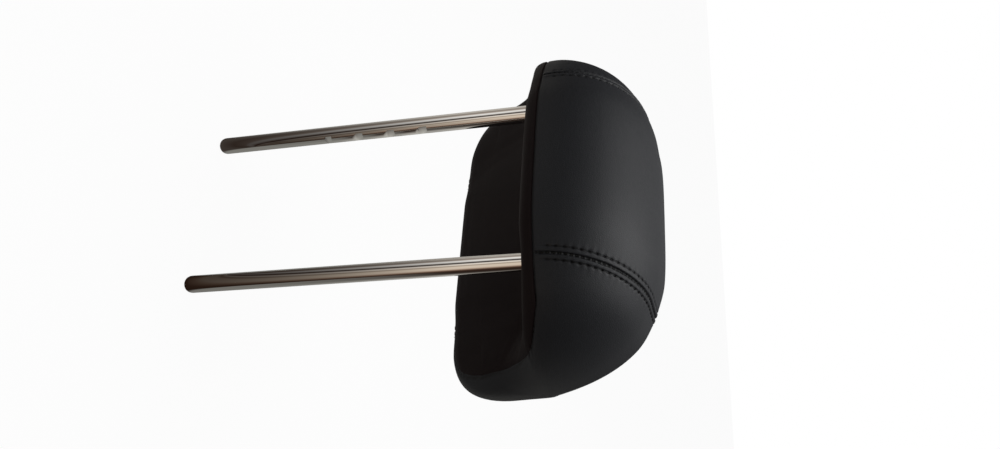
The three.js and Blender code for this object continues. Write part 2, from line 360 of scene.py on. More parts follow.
def stations(shape, cover):
    """Stations across the width, close together at the seams and towards the ends."""
    half, seam = shape.width / 2, cover.seam_bottom
    near = 0.009  # from a seam to where the wide steps start
    fold_end, next_step = 0.0019, 0.0023
    row_before, row_edge, row_after = cover.row - 0.0009, 0.0006, cover.row + 0.001
    # off a seam: over its gap and folded edge, on to the stitch row, over that row, and on to the wide steps
    off = np.concatenate([
        np.linspace(0, fold_end, 9),
        np.linspace(next_step, row_before, 3),
        np.linspace(cover.row - row_edge, cover.row + row_edge, 5),
        np.linspace(row_after, near, 6),
    ])
    middle = np.linspace(0, seam - near, 22)
    end = end_stations(seam + near, half, 22, 11)
    side = np.concatenate([middle[:-1], seam - off[::-1], seam + off[1:], end[1:]])
    return np.concatenate([-side[:0:-1], side])


def in_neck(cover, points):
    """True in the hollow between the underside and the lip, which the underside panel takes in whole."""
    x, y, z = np.moveaxis(points, 2, 0)
    return (np.abs(x) < cover.neck_half) & (y < 0) & (y > -cover.neck_reach) & (z < cover.neck_roof)


def on_underside(shape, cover, points):
    """True where a point of the skin belongs to the underside panel."""
    line = panel_edge(shape, cover)
    x, y, z = np.moveaxis(points, 2, 0)
    edge = np.interp(-y, -line[:-1, 0], line[:-1, 1])
    return ((z < edge) & (y > line[-1, 0])) | in_neck(cover, points)


def hem_distance(shape, cover, points):
    """Distance of the skin's points from the underside panel's sewn edge."""
    x, y, z = np.moveaxis(points, 2, 0)
    away = distance_to(panel_edge(shape, cover), y, z)
    return np.where(in_neck(cover, points), FAR_OFF, away)


CROWN_REACH = 0.024  # from a seam to where the crown has its full height
COARSE = 10  # outline points from one row of the coarse copy to the next
PRESSURE = 4  # of the padding, in the cloth solver's unit
SETTLED = 20  # the frame at which the cloth has come to rest
SEAM_HELD = 0.0002  # how far past the stitch rows the strip that is pinned along a seam reaches
HEM_HELD = 0.004  # width of the strip that is pinned along the hem
END_FADE = (0.003, 0.02)  # from an end, where the padding's push starts and where it is full


def crown_share(cover, across):
    """Share of the crown at each station: none at the stitch rows, all of it further off."""
    off = np.abs(np.abs(across) - cover.seam_bottom)
    return smooth_step(off, cover.row, CROWN_REACH)[None, :, None]


def pushed_out(pad, held):
    """Where a pad's vertices come to rest under pressure from inside, with some of them held."""
    pins = pad.vertex_groups.new(name="sewn")
    pins.add([int(i) for i in np.flatnonzero(held)], 1.0, "REPLACE")
    cloth = pad.modifiers.new("cloth", "CLOTH")
    cloth.settings.use_pressure = True
    cloth.settings.uniform_pressure_force = PRESSURE
    cloth.settings.effector_weights.gravity = 0
    cloth.settings.vertex_group_mass = pins.name
    cloth.point_cache.frame_start = 1
    cloth.point_cache.frame_end = SETTLED
    scene = bpy.context.scene
    for step in range(1, SETTLED + 1):
        scene.frame_set(step)
    ready = pad.evaluated_get(bpy.context.evaluated_depsgraph_get())
    places = np.empty(3 * len(pad.data.vertices))
    ready.data.vertices.foreach_get("co", places)
    scene.frame_set(1)
    return places.reshape(-1, 3)


def refined(moved, rows, coarse, across):
    """Moves of the coarse grid at every point of the fine one: round the outline, then across the width."""
    at = np.arange(rows)
    fine = np.empty((rows, len(coarse), 3))
    for j, k in np.ndindex(len(coarse), 3):
        fine[:, j, k] = np.interp(at, at[::COARSE], moved[:, j, k], period=rows)
    lift = np.empty((rows, len(across), 3))
    for i, k in np.ndindex(rows, 3):
        lift[i, :, k] = np.interp(across, coarse, fine[i, :, k])
    return lift


def swell(shape, cover, lines, across):
    """How far the padding lifts the cover off its seams, for every point of the fine grid.

    The leather is crowned between its seams. A coarse copy of that shape, pinned along its seams, swells
    under pressure as cloth, and its moves are added up to the cover's swell.
    """
    crown = outward(skin(shape, cover, lines, across)) * (cover.crown * crown_share(cover, across))
    seam, half = cover.seam_bottom, shape.width / 2
    inner = np.linspace(0, seam - cover.row, 11)
    outer = end_stations(seam + cover.row, half, 8, 6)
    side = np.concatenate([inner, [seam], outer])
    coarse = np.concatenate([-side[:0:-1], side])
    start = skin(shape, cover, lines[:, ::COARSE], coarse)
    start = start - outward(start) * (cover.crown * (1 - crown_share(cover, coarse)))
    pad = make_object(wrapped_grid(start), "swelling_pad")
    row = np.empty(len(pad.data.vertices), dtype=np.int32)
    column = np.empty_like(row)
    pad.data.attributes["row"].data.foreach_get("value", row)
    pad.data.attributes["column"].data.foreach_get("value", column)
    at_seam = np.abs(np.abs(coarse) - seam)[column] < cover.row + SEAM_HELD
    at_hem = hem_distance(shape, cover, start)[row, column] < HEM_HELD
    moved = np.zeros_like(start)
    moved[row, column] = pushed_out(pad, at_seam | at_hem) - start[row, column]
    # each end is one vertex of the pad, and a whole column of the grid
    moved[:, 0] = moved[row[column == 0][0], 0]
    moved[:, -1] = moved[row[column == len(coarse) - 1][0], -1]
    drop(pad)
    size = np.linalg.norm(moved, axis=2, keepdims=True)
    moved *= cover.swell * np.tanh(size / cover.swell) / np.maximum(size, 1e-9)
    moved *= smooth_step(half - np.abs(coarse), *END_FADE)[None, :, None]
    return crown + refined(moved, lines.shape[1], coarse, across)


# The sewing's marks in the leather: how far each reaches, and how deep or high it is
GAP_WALL = 0.0003
FOLD_FRONT, FOLD_BACK = 0.0007, 0.0013
LINE_WIDTH, LINE_DEPTH = 0.0004, 0.0004
PIT_WIDTH, PIT_DEPTH = 0.0007, 0.0006
PUCKER_IN, PUCKER_OUT, PUCKER_HEIGHT = 0.0010, 0.0018, 0.00015
TUCK_WIDTH, TUCK_DEPTH = 0.0005, 0.0008
HEM_WIDTH, HEM_DEPTH = 0.003, 0.0004
ROWS_START = 0.012  # from the hem to where the stitch rows are full


def sewn_surface(shape, cover, lines, across, lift):
    """Surface points with the swell between seams, the folded edges, the stitch rows and the grooves.

    Also the surface's normals, and a painted shade from 0 to 1 that darkens the leather's colour in the gap
    between the folded edges, at the needle holes, along the stitch lines and along the hem.
    """
    base = skin(shape, cover, lines, across)
    normal = outward(base)
    off = np.abs(np.abs(across)[None, :] - cover.seam_bottom)
    along = measured(base[:, nearest(across, cover.seam_bottom)])[:, None]
    hem = hem_distance(shape, cover, base)
    below = on_underside(shape, cover, base)
    leather = np.where(below, 0.0, smooth_step(hem, 0, HEM_WIDTH))
    rows = np.where(below, 0.0, smooth_step(hem, HEM_WIDTH, ROWS_START))

    # a stitch of the joining seam fills most of its pitch, and a needle hole is a narrow part of its own
    dash = smooth_step(np.cos(2 * math.pi * along / cover.joining_pitch), -0.8, -0.3)
    beat = np.cos(2 * math.pi * along / cover.pitch)
    fold = smooth_step(off, cover.gap, cover.gap + FOLD_FRONT)
    fold = fold * (1 - smooth_step(off, cover.row - FOLD_BACK, cover.row))
    gap = 1 - smooth_step(off, cover.gap - GAP_WALL, cover.gap + GAP_WALL)
    row = off - cover.row
    line = np.exp(-((row / LINE_WIDTH) ** 2))
    pit = np.exp(-((row / PIT_WIDTH) ** 2)) * (0.5 + 0.5 * beat) ** 3
    pucker = np.where(row > 0, np.exp(-row / PUCKER_OUT), np.exp(row / PUCKER_IN))
    tuck = np.exp(-((hem / TUCK_WIDTH) ** 2))

    seam = cover.fold * fold - cover.groove * gap * (0.5 + 0.5 * dash)
    stitched = -LINE_DEPTH * line - PIT_DEPTH * pit - PUCKER_HEIGHT * beat * pucker
    edge = -TUCK_DEPTH * tuck - HEM_DEPTH * np.exp(-hem / HEM_WIDTH)
    height = seam * leather + stitched * rows + edge - cover.crown
    # painted shade: darkest in the gap between the folded edges and at the needle holes, less along the hem
    # and the stitch lines
    shade = np.maximum(gap * leather * (0.6 + 0.4 * dash), 0.7 * tuck) + (0.5 * line + pit) * rows
    return base + lift + normal * height[:, :, None], normal, np.clip(shade, 0, 1)


MERGE = 1e-6  # distance under which two vertices are one
CLOSING = 0.0005  # depth of the ends within which the rings run together
CLOSING_MERGE = 0.00004  # distance under which two of their vertices are one


def wrapped_grid(points, shade=None):
    """A closed mesh from a grid of points that wraps round its first axis, its two ends drawn to a point."""
    rows, columns = points.shape[:2]
    bm = bmesh.new()
    row_of, column_of = bm.verts.layers.int.new("row"), bm.verts.layers.int.new("column")
    # the painted shade of the seams and the hem, kept on the vertices for the leather's colour
    groove = bm.verts.layers.float.new("groove")
    bmesh.ops.create_grid(bm, x_segments=rows, y_segments=columns - 1, size=1)
    for v in bm.verts:
        i = round((v.co.x + 1) / 2 * rows) % rows
        j = round((v.co.y + 1) / 2 * (columns - 1))
        v.co = points[i, j]
        v[row_of], v[column_of] = i, j
        if shade is not None:
            v[groove] = shade[i, j]
    bmesh.ops.remove_doubles(bm, verts=bm.verts, dist=MERGE)
    end = np.abs(points[:, :, 0]).max()
    close = [v for v in bm.verts if abs(v.co.x) > end - CLOSING]
    bmesh.ops.remove_doubles(bm, verts=close, dist=CLOSING_MERGE)
    bmesh.ops.dissolve_degenerate(bm, edges=bm.edges, dist=MERGE)
    bmesh.ops.recalc_face_normals(bm, faces=bm.faces)
    return bm


SHARP = math.radians(50)  # an edge that turns by more than this is a sharp one


def make_object(bm, name, *materials):
    """A shown object from a bmesh, smooth except at its sharp edges."""
    mesh = bpy.data.meshes.new(name)
    bm.to_mesh(mesh)
    bm.free()
    for material in materials:
        mesh.materials.append(material)
    mesh.shade_smooth()
    mesh.set_sharp_from_angle(angle=SHARP)
    made = bpy.data.objects.new(name, mesh)
    bpy.context.scene.collection.objects.link(made)
    return made


def cut(body, tool, operation):
    """The mesh of a body after a boolean with a tool. Both stay as they are."""
    modifier = body.modifiers.new("cut", "BOOLEAN")
    modifier.object = tool
    modifier.operation = operation
    modifier.solver = "EXACT"
    bpy.context.view_layer.update()
    mesh = bpy.data.meshes.new_from_object(body.evaluated_get(bpy.context.evaluated_depsgraph_get()))
    body.modifiers.remove(modifier)
    bm = bmesh.new()
    bm.from_mesh(mesh)
    bpy.data.meshes.remove(mesh)
    return bm


def drop(obj):
    """Removes a helper object with its mesh."""
    mesh = obj.data
    bpy.data.objects.remove(obj)
    bpy.data.meshes.remove(mesh)


def vertices(geometry):
    """The vertices among the geometry that a bmesh operator gives back."""
    return [g for g in geometry if isinstance(g, bmesh.types.BMVert)]


def add_block(bm, outline, offset):
    """Adds a block: a flat outline, swept by an offset."""
    corners = [bm.verts.new(place) for place in outline]
    face = bmesh.ops.contextual_create(bm, geom=corners)["faces"][0]
    grown = bmesh.ops.extrude_face_region(bm, geom=[face])["geom"]
    bmesh.ops.translate(bm, vec=offset, verts=vertices(grown))


def sideways_block(outline, half):
    """A block of an outline (y, z) that runs across the width, from one half width to the other."""
    bm = bmesh.new()
    add_block(bm, [(-half, y, z) for y, z in outline], (2 * half, 0, 0))
    bmesh.ops.recalc_face_normals(bm, faces=bm.faces)
    return make_object(bm, "block")


def underside_block(shape, cover):
    """Everything on the underside panel's side of its sewn edge. Its faces have the second material slot."""
    line = panel_edge(shape, cover)
    past_the_ends = 0.2
    below = sideways_block([*line, (line[0, 0], line[-1, 1])], past_the_ends)
    back, roof, drop_to = -cover.neck_reach, cover.neck_roof, -shape.lip_drop
    neck = sideways_block([(0, roof), (back, roof), (back, drop_to), (0, drop_to)], cover.neck_half)
    bm = cut(below, neck, "UNION")
    drop(below)
    drop(neck)
    for face in bm.faces:
        face.material_index = 1
    return make_object(bm, "underside_block", leather_finish(), underside_finish())


def seam_plane(bm, shape, cover, side, keep_inner):
    """Cuts along one of the two top-stitched seams and keeps one side of it."""
    slope = (cover.seam_top - cover.seam_bottom) / shape.top_height
    normal = Vector((side, 0, -slope)).normalized()
    bmesh.ops.bisect_plane(
        bm, geom=bm.verts[:] + bm.edges[:] + bm.faces[:], dist=MERGE,
        plane_co=(side * cover.seam_bottom, 0, 0), plane_no=normal,
        clear_outer=keep_inner, clear_inner=not keep_inner,
    )


# A cover piece that reaches an end comes further out than this. Its wall is thin near that end.
END_PIECE = 0.11
THIN_END = 0.004
THIN_SHARE = 0.1


def give_thickness(skin_piece, thickness):
    """Turns a skin into a closed shell, grown inwards, and thin where it runs together at the ends."""
    across = np.abs([v.co.x for v in skin_piece.data.vertices])
    group = skin_piece.vertex_groups.new(name="wall")
    group.add(np.arange(len(across)).tolist(), 1.0, "REPLACE")
    if across.max() > END_PIECE:
        group.add(np.flatnonzero(across > across.max() - THIN_END).tolist(), THIN_SHARE, "REPLACE")
    wall = skin_piece.modifiers.new("thickness", "SOLIDIFY")
    wall.vertex_group = group.name
    wall.thickness = thickness
    wall.offset = -1


# Finishes


def new_material(name):
    """An empty node material and its node tree."""
    material = bpy.data.materials.new(name)
    material.use_nodes = True
    material.node_tree.nodes.clear()
    return material, material.node_tree


def add(tree, kind, links=None, **settings):
    """Adds a node, sets its fields and input values, and links sockets into it."""
    node = tree.nodes.new(kind)
    for key, value in settings.items():
        if key in node.inputs.keys():
            node.inputs[key].default_value = value
        elif hasattr(node, key):
            setattr(node, key, value)
        else:
            node.inputs[int(key[1:])].default_value = value
    for key, source in (links or {}).items():
        tree.links.new(source, node.inputs[key])
    return node


PER_MM = 1000.0  # scale of a pattern that repeats once in a millimetre


def grained_leather(name, tint, roughness, shine, grain, depth):
    """A pigmented cover material with an embossed grain of a width and a depth.

    The pigment also varies in broad patches, about 36 mm wide. Painted shade takes it down towards black in
    the seams' grooves, at the needle holes and along the hem, as the mesh's groove attribute gives it.
    """
    material, tree = new_material(name)
    place = add(tree, "ShaderNodeTexCoord").outputs["Object"]
    pores = add(tree, "ShaderNodeTexVoronoi", {"Vector": place}, feature="DISTANCE_TO_EDGE", Scale=1 / grain)
    fine = add(tree, "ShaderNodeTexNoise", {"Vector": place}, Scale=3 / grain, Detail=4.0, Roughness=0.6)
    broad = add(tree, "ShaderNodeTexNoise", {"Vector": place}, Scale=0.028 * PER_MM, Detail=3.0)
    pebble = add(tree, "ShaderNodeMapRange", {"Value": pores.outputs["Distance"]},
                 interpolation_type="SMOOTHSTEP")
    pebble.inputs["From Max"].default_value = 0.35
    height = add(tree, "ShaderNodeMath", {0: pebble.outputs[0], 1: fine.outputs["Fac"]}, operation="ADD")
    bump = add(tree, "ShaderNodeBump", {"Height": height.outputs[0]}, Distance=depth, Strength=0.6)
    tone = add(tree, "ShaderNodeMapRange", {"Value": broad.outputs["Fac"]})
    tone.inputs["To Min"].default_value = 0.9
    tone.inputs["To Max"].default_value = 1.1
    # painted shade: the groove attribute takes the base colour down towards black, on top of the broad random
    # tone
    groove = add(tree, "ShaderNodeAttribute", attribute_name="groove").outputs["Fac"]
    tone_and_painted_shade = add(tree, "ShaderNodeMath", {0: groove, 2: tone.outputs[0]}, operation="MULTIPLY_ADD", i1=-0.85)
    shade = add(tree, "ShaderNodeMix", {"Factor": tone_and_painted_shade.outputs[0]}, data_type="RGBA", clamp_factor=False)
    shade.inputs[6].default_value = (0.0, 0.0, 0.0, 1)
    shade.inputs[7].default_value = tint
    rough = add(tree, "ShaderNodeMapRange", {"Value": fine.outputs["Fac"]})
    rough.inputs["To Min"].default_value = roughness - 0.05
    rough.inputs["To Max"].default_value = roughness + 0.07
    shader = add(tree, "ShaderNodeBsdfPrincipled", {
        "Base Color": shade.outputs[2], "Roughness": rough.outputs[0], "Normal": bump.outputs[0]})
    shader.inputs["Specular IOR Level"].default_value = shine
    add(tree, "ShaderNodeOutputMaterial", {"Surface": shader.outputs[0]})
    return material


def leather_finish():
    # Full-grain cowhide, pigmented black and embossed: a soft satin sheen, with grain only close up.
    tint = tuple(bpy.context.scene.headrest_colours.leather)
    material = bpy.data.materials.get("black_cowhide")
    return material or grained_leather(
        "black_cowhide", tint, roughness=0.57, shine=0.32, grain=0.0011, depth=0.00006
    )


def underside_finish():
    # Knit-backed vinyl in brown-black: flatter and duller than the leather beside it.
    tint = tuple(bpy.context.scene.headrest_colours.underside)
    material = bpy.data.materials.get("brown_black_vinyl")
    return material or grained_leather(
        "brown_black_vinyl", tint, roughness=0.6, shine=0.12, grain=0.0008, depth=0.00005
    )


def thread_finish():
    # Bonded polyester thread: black, with the twist of its plies across it, 3.5 to a millimetre.
    material = bpy.data.materials.get("bonded_polyester")
    if material:
        return material
    material, tree = new_material("bonded_polyester")
    place = add(tree, "ShaderNodeTexCoord").outputs["Object"]
    twist = add(tree, "ShaderNodeTexNoise", {"Vector": place}, Scale=3.5 * PER_MM, Detail=2.0)
    bump = add(tree, "ShaderNodeBump", {"Height": twist.outputs["Fac"]}, Distance=0.00006, Strength=0.7)
    shader = add(tree, "ShaderNodeBsdfPrincipled", {"Normal": bump.outputs[0]}, Roughness=0.6)
    shader.inputs["Base Color"].default_value = tuple(bpy.context.scene.headrest_colours.thread)
    add(tree, "ShaderNodeOutputMaterial", {"Surface": shader.outputs[0]})
    return material


def chrome_finish():
    # Hard chrome over polished steel: a sharp mirror with fine draw marks along the rod. They are drawn
    # at 2.6 to a millimetre, because the real ones are too fine to show.
    material = bpy.data.materials.get("chromed_steel")
    if material:
        return material
    material, tree = new_material("chromed_steel")
    lengthwise = 0.02  # of the marks' scale, which draws them out along the posts
    place = add(tree, "ShaderNodeTexCoord").outputs["Object"]
    stretch = add(tree, "ShaderNodeMapping", {"Vector": place}, Scale=(1.0, 1.0, lengthwise))
    marks = add(tree, "ShaderNodeTexNoise", {"Vector": stretch.outputs[0]}, Scale=2.6 * PER_MM, Detail=3.0)
    rough = add(tree, "ShaderNodeMapRange", {"Value": marks.outputs["Fac"]})
    rough.inputs["To Min"].default_value = 0.02
    rough.inputs["To Max"].default_value = 0.05
    bump = add(tree, "ShaderNodeBump", {"Height": marks.outputs["Fac"]}, Distance=0.000004, Strength=0.4)
    shader = add(tree, "ShaderNodeBsdfPrincipled", {"Roughness": rough.outputs[0], "Normal": bump.outputs[0]},
                 Metallic=1.0)
    shader.inputs["Base Color"].default_value = tuple(bpy.context.scene.headrest_colours.chrome)
    add(tree, "ShaderNodeOutputMaterial", {"Surface": shader.outputs[0]})
    return material


def foam_finish():
    # Moulded polyurethane foam: pale, dull and pitted with closed cells, 0.9 to a millimetre.
    material = bpy.data.materials.get("polyurethane_foam")
    if material:
        return material
    material, tree = new_material("polyurethane_foam")
    place = add(tree, "ShaderNodeTexCoord").outputs["Object"]
    cells = add(tree, "ShaderNodeTexVoronoi", {"Vector": place}, Scale=0.9 * PER_MM)
    bump = add(tree, "ShaderNodeBump", {"Height": cells.outputs["Distance"]}, Distance=0.0002)
    shader = add(tree, "ShaderNodeBsdfPrincipled", {"Normal": bump.outputs[0]}, Roughness=0.95)
    shader.inputs["Base Color"].default_value = tuple(bpy.context.scene.headrest_colours.foam)
    add(tree, "ShaderNodeOutputMaterial", {"Surface": shader.outputs[0]})
    return material


# Pieces

parts = {}  # the cut bodies and the surface, made by the first operator that needs them


def cover_bodies():
    """The closed leather body and the closed underside body, cut apart at the panel's edge."""
    if "leather" not in parts:
        scene = bpy.context.scene
        shape, cover = scene.headrest_cushion, scene.headrest_cover
        lines = outlines(shape, cover.pitch / STEPS_PER_STITCH)
        across = stations(shape, cover)
        lift = swell(shape, cover, lines, across)
        points, normal, shade = sewn_surface(shape, cover, lines, across, lift)
        parts["surface"] = (lines, across, points, normal)
        # the whole body carries the seams' painted shade on its vertices
        whole = make_object(wrapped_grid(points, shade), "whole", leather_finish(), underside_finish())
        block = underside_block(shape, cover)
        for name, operation in (("leather", "DIFFERENCE"), ("underside", "INTERSECT")):
            bm = cut(whole, block, operation)
            inside = [face for face in bm.faces if face.material_index == 1]
            bmesh.ops.delete(bm, geom=inside, context="FACES")
            bmesh.ops.remove_doubles(bm, verts=bm.verts, dist=2 * MERGE)
            parts[name] = bm
        drop(whole)
        drop(block)
    return parts


def finish_panel(bm, name, material, node):
    """Sets a cover panel in the frame in place of its CAD solid."""
    made = make_object(bm, name, material)
    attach(made, "root")
    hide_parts(node)
    return made


class HEADREST_OT_centre_panel(bpy.types.Operator):
    """Makes the leather panel between the two seams"""

    bl_idname = "headrest.centre_panel"
    bl_label = "Centre Panel"

    def execute(self, context):
        shape, cover = context.scene.headrest_cushion, context.scene.headrest_cover
        bm = cover_bodies()["leather"].copy()
        for side in (-1, 1):
            seam_plane(bm, shape, cover, side, True)
        made = finish_panel(bm, "centre_leather", leather_finish(), "centre_panel")
        give_thickness(made, cover.leather)
        return {"FINISHED"}


class HEADREST_OT_side_panels(bpy.types.Operator):
    """Makes the leather panels of the two ends"""

    bl_idname = "headrest.side_panels"
    bl_label = "Side Panels"

    def execute(self, context):
        shape, cover = context.scene.headrest_cushion, context.scene.headrest_cover
        for side, name in ((1, "left"), (-1, "right")):
            bm = cover_bodies()["leather"].copy()
            seam_plane(bm, shape, cover, side, False)
            made = finish_panel(bm, "side_leather_" + name, leather_finish(), "side_panel_" + name)
            give_thickness(made, cover.leather)
        return {"FINISHED"}


class HEADREST_OT_underside_panel(bpy.types.Operator):
    """Makes the brown-black panel of the underside and the inner side of the lip"""

    bl_idname = "headrest.underside_panel"
    bl_label = "Underside Panel"

    def execute(self, context):
        rod, cover = context.scene.headrest_posts, context.scene.headrest_cover
        whole = make_object(cover_bodies()["underside"].copy(), "whole_underside", underside_finish())
        give_thickness(whole, cover.leather)
        bm = with_channel(whole, rod, cover)
        finish_panel(bm, "underside_cover", underside_finish(), "underside_panel")
        return {"FINISHED"}


STEPS_PER_STITCH = 8  # outline points from one top stitch to the next
HALF_STITCH = STEPS_PER_STITCH // 2
KNOT = (0.0008, 0.0006, 0.0004)  # radii of the bead at a needle hole: along the row, across it, and high
SUNK, RAISED = -0.0001, 0.0001  # of the top stitches and of the joining stitches, off the leather
SLANT, SLANT_SPREAD = 4, 1.5  # degrees by which a top stitch turns off its row
FIRST_STITCH = 0.008  # from the hem to the first stitch


def bead_shape():
    """A round bead with few faces, to be stretched into every stitch."""
    bm = bmesh.new()
    bmesh.ops.create_uvsphere(bm, u_segments=8, v_segments=5, radius=1)
    mesh = bpy.data.meshes.new("bead")
    bm.to_mesh(mesh)
    bm.free()
    return mesh


def bead(bm, shape, place, heading, lift, turn, radii, height):
    """Adds a bead, stretched along a heading, turned by some degrees and raised off its place."""
    up = Vector(lift)
    forward = Vector(heading).normalized()
    aside = up.cross(forward).normalized()
    frame_of = Matrix((aside.cross(up), aside, up)).transposed().to_4x4()
    frame_of = frame_of @ Matrix.Rotation(math.radians(turn), 4, "Z") @ Matrix.Diagonal((*radii, 1))
    placed = shape.copy()
    placed.transform(Matrix.Translation(Vector(place) + up * height) @ frame_of)
    bm.from_mesh(placed)
    bpy.data.meshes.remove(placed)


def stitch_places(along, pitch, leather, room):
    """Outline points where stitches start: one in every pitch, on leather and with room before the end."""
    for k in range(int(along[-1] / pitch)):
        i = int(np.searchsorted(along, k * pitch))
        if i + room < len(along) and leather[i, 0]:
            yield i


class HEADREST_OT_stitches(bpy.types.Operator):
    """Sews the two rows of stitches beside each seam, and the joining stitches in it"""

    bl_idname = "headrest.stitches"
    bl_label = "Stitches"

    def execute(self, context):
        shape, cover = context.scene.headrest_cushion, context.scene.headrest_cover
        lines, across, points, normal = cover_bodies()["surface"]
        rng = np.random.default_rng(4)
        # radii: half of the length that shows, and half the thread, which is drawn tight in a seam
        top_thread = (cover.pitch * 0.42, cover.thread / 2, cover.thread / 2)
        joining_thread = (cover.gap, cover.thread * 0.35, cover.thread * 0.35)
        bm = bmesh.new()
        one = bead_shape()
        for side in (-1, 1):
            middle = nearest(across, side * cover.seam_bottom)
            seam = skin(shape, cover, lines, across[middle : middle + 1])
            along = measured(seam[:, 0])
            clear = hem_distance(shape, cover, seam) > FIRST_STITCH
            leather = ~on_underside(shape, cover, seam) & clear
            for row in (-1, 1):
                j = nearest(across, side * (cover.seam_bottom + row * cover.row))
                for i in stitch_places(along, cover.pitch, leather, HALF_STITCH):
                    turn = float(rng.normal(SLANT * side * row, SLANT_SPREAD))
                    heading = points[i + 1, j] - points[i - 1, j]
                    bead(bm, one, points[i, j], heading, normal[i, j], turn, KNOT, SUNK)
                    bead(bm, one, points[i + HALF_STITCH, j], heading, normal[i, j], turn, top_thread, SUNK)
            for i in stitch_places(along, cover.joining_pitch, leather, 1):
                aside = points[i, middle + 1] - points[i, middle - 1]
                bead(bm, one, points[i, middle], aside, normal[i, middle], 0, joining_thread, RAISED)
        bpy.data.meshes.remove(one)
        made = make_object(bm, "seam_stitches", thread_finish())
        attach(made, "root")
        return {"FINISHED"}


def ring_edges(bm, ring):
    """The edges between the vertices of a ring."""
    inside = set(ring)
    return [e for e in bm.edges if e.verts[0] in inside and e.verts[1] in inside]


def grow(bm, ring, offset):
    """Extrudes a ring by an offset and returns the new ring."""
    new = vertices(bmesh.ops.extrude_edge_only(bm, edges=ring_edges(bm, ring))["geom"])
    bmesh.ops.translate(bm, vec=offset, verts=new)
    return new


# The outline of a tip is a curve from the flat to the rod's side. Its two handles stand at these shares of
# the tip's length, the first of them this share of the way in from the rod's side to the flat.
TIP_RISE = (0.1, 0.5)
TIP_IN = 0.35
TIP_RINGS = 9


def bent_rod(rod, margin):
    """The rod as one closed form, its radius enlarged by a margin: half of it, mirrored."""
    radius, side = rod.diameter / 2 + margin, rod.spacing / 2
    flat = rod.flat / 2 + margin
    bm = bmesh.new()
    start = Matrix.Translation((-side, 0, -rod.reach - margin))
    ring = bmesh.ops.create_circle(bm, cap_ends=True, segments=64, radius=flat, matrix=start)["verts"]
    to_axis = Matrix.Translation((side, 0, 0))
    last_r, last_h = flat, 0.0
    for i in range(1, TIP_RINGS + 1):
        t = i / TIP_RINGS
        h = rod.tip * (3 * (1 - t) ** 2 * t * TIP_RISE[0] + 3 * (1 - t) * t * t * TIP_RISE[1] + t**3)
        r = ((1 - t) ** 3 * flat + 3 * (1 - t) ** 2 * t * (radius - (radius - flat) * TIP_IN)
             + (3 * (1 - t) * t * t + t**3) * radius)
        ring = grow(bm, ring, (0, 0, h - last_h))
        bmesh.ops.scale(bm, vec=(r / last_r, r / last_r, 1), verts=ring, space=to_axis)
        last_r, last_h = r, h
    top = rod.crossbar - rod.bend
    ring = grow(bm, ring, (0, 0, top + rod.reach + margin - rod.tip))
    bend = bmesh.ops.spin(bm, geom=ring_edges(bm, ring), cent=(rod.bend - side, 0, top), axis=(0, 1, 0),
                          angle=math.pi / 2, steps=14)["geom_last"]
    grow(bm, vertices(bend), (side - rod.bend, 0, 0))
    bmesh.ops.mirror(bm, geom=bm.verts[:] + bm.edges[:] + bm.faces[:], axis="X", merge_dist=MERGE)
    bmesh.ops.remove_doubles(bm, verts=bm.verts, dist=MERGE)
    bmesh.ops.recalc_face_normals(bm, faces=bm.faces)
    return bm


def with_channel(body, rod, cover):
    """The mesh of a body with room for the rod cut out of it. The body itself is dropped."""
    channel = make_object(bent_rod(rod, cover.foam_room), "channel")
    bm = cut(body, channel, "DIFFERENCE")
    drop(body)
    drop(channel)
    return bm


NOTCH_EDGE = 0.00025  # width of the broken edges of the notches
NOTCH_ANGLE = math.radians(35)  # an edge that turns by more than this is broken


def notch_cutters(rod):
    """Wedges that cut the notches into the post at +X, on the side that faces the other post.

    A notch is square above and slopes out below, except the lowest one, which is square at both ends.
    """
    bm = bmesh.new()
    surface = rod.spacing / 2 - rod.diameter / 2
    floor = surface + rod.notch_depth
    clear = 0.002  # how far a wedge stands out of the post
    half = 0.02  # of a wedge's length across the post
    for i in range(rod.notches):
        low = i * rod.notch_pitch - rod.notch_first
        high = low + rod.notch_floor
        ramp = rod.notch_ramp / rod.notch_depth * (rod.notch_depth + clear) if i else 0
        corners = [(floor, high), (surface - clear, high), (surface - clear, low - ramp), (floor, low)]
        add_block(bm, [(x, -half, z) for x, z in corners], (0, 2 * half, 0))
    bmesh.ops.recalc_face_normals(bm, faces=bm.faces)
    return bm


class HEADREST_OT_posts(bpy.types.Operator):
    """Makes the bent rod with its lock notches"""

    bl_idname = "headrest.posts"
    bl_label = "Posts"

    def execute(self, context):
        rod = context.scene.headrest_posts
        plain = make_object(bent_rod(rod, 0), "plain_rod")
        tool = make_object(notch_cutters(rod), "notch_tool")
        notched = make_object(cut(plain, tool, "DIFFERENCE"), "chromed_rod", chrome_finish())
        drop(plain)
        drop(tool)
        soften = notched.modifiers.new("soften", "BEVEL")
        soften.width, soften.segments = NOTCH_EDGE, 2
        soften.limit_method, soften.angle_limit = "ANGLE", NOTCH_ANGLE
        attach(notched, "root")
        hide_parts("post_rod")
        return {"FINISHED"}


FOAM_STEP = 0.004  # from one outline point of the foam to the next
FOAM_FIRST = 0.01  # from mid width to the foam's next station
FOAM_FADE = 0.012  # from an end to where the foam is pressed in all round


